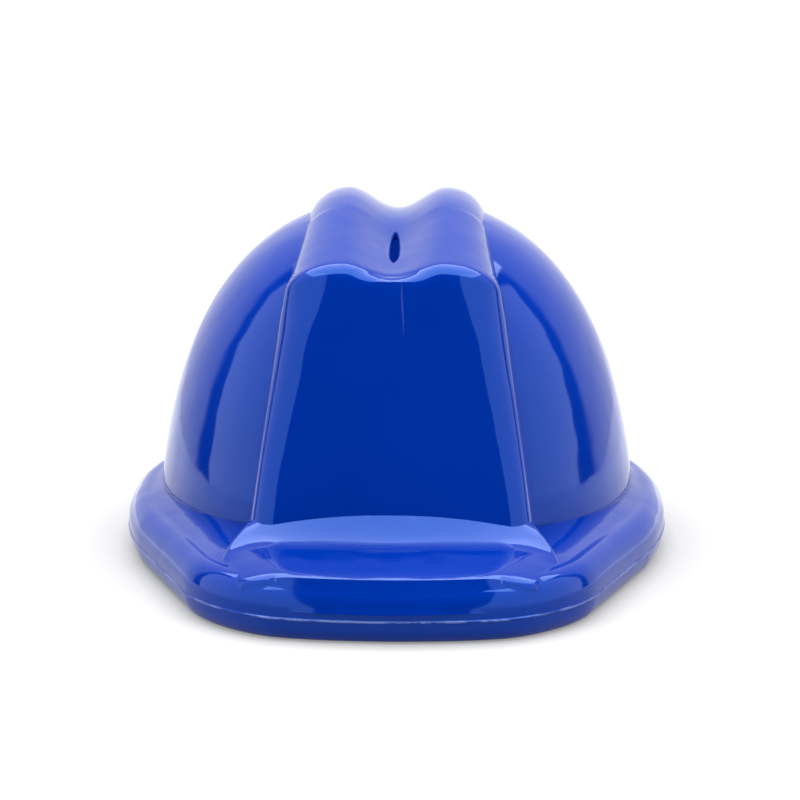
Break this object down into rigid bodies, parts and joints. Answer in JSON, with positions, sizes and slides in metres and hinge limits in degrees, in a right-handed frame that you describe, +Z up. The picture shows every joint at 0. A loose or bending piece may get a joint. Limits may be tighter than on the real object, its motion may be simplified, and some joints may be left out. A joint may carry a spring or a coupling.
{
  "type": "hard hat money box",
  "caption": "Hollow moulded money box in the shape of a hard hat, with a rolled brim, a ribbed crest, a coin slot and a push-in stopper in its base.",
  "frame": {"origin": "on the resting plane, below the middle of the hat's box", "axes": "+Z up, -Y towards the bill, +X to the wearer's left"},
  "size_m": [0.17, 0.191, 0.1101],
  "materials": {
    "shell_plastic": "glossy moulded plastic with slight waviness and light scuffs",
    "pan_plastic": "glossy moulded plastic, duller and scuffed underneath",
    "stopper_rubber": "soft black plastic, satin"
  },
  "bodies": {
    "hat": {"hat_shell": "shell_plastic", "base_pan": "pan_plastic"},
    "stopper": {"coin_stopper": "stopper_rubber"}
  },
  "joints": [
    {"name": "stopper_pull", "type": "slide", "parent": "hat", "child": "stopper", "axis": [0, 0, -1], "range_m": [0, 0.02]}
  ]
}
